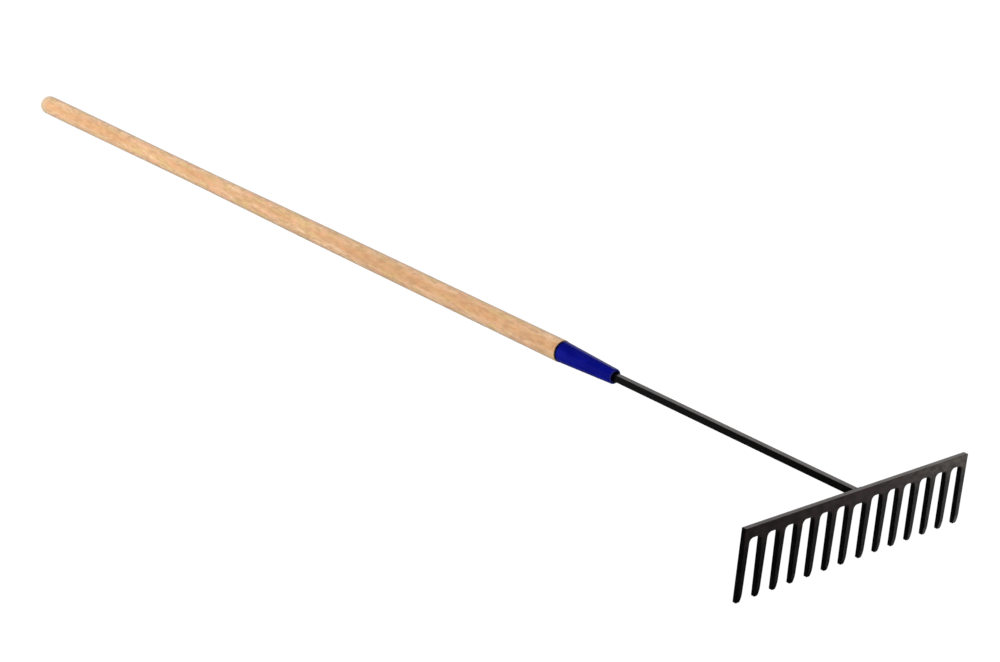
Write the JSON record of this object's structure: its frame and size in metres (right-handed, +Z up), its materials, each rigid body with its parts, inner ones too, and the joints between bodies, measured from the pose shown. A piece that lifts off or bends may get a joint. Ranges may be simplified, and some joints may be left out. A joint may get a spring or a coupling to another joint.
{
  "type": "asphalt rake",
  "caption": "Asphalt rake: flat toothed steel head on a square steel shank, with a tapered blue ferrule and a long turned wooden handle.",
  "frame": {"origin": "centre of the box on the ground, with the rake lying on its tine tips and the butt of its handle", "axes": "+Z up, +Y along the rake from the head to the butt of the handle, +X along the head"},
  "size_m": [0.4064, 1.903, 0.0968],
  "materials": {
    "black_paint": "satin, thin over mill scale",
    "blue_enamel": "gloss",
    "ash_wood": "clear lacquered",
    "pin_steel": "plain"
  },
  "bodies": {
    "root": {"head": "black_paint", "shank": "black_paint", "shank_weld": "black_paint", "ferrule": "blue_enamel", "handle": "ash_wood", "ferrule_pin": "pin_steel"}
  },
  "joints": []
}
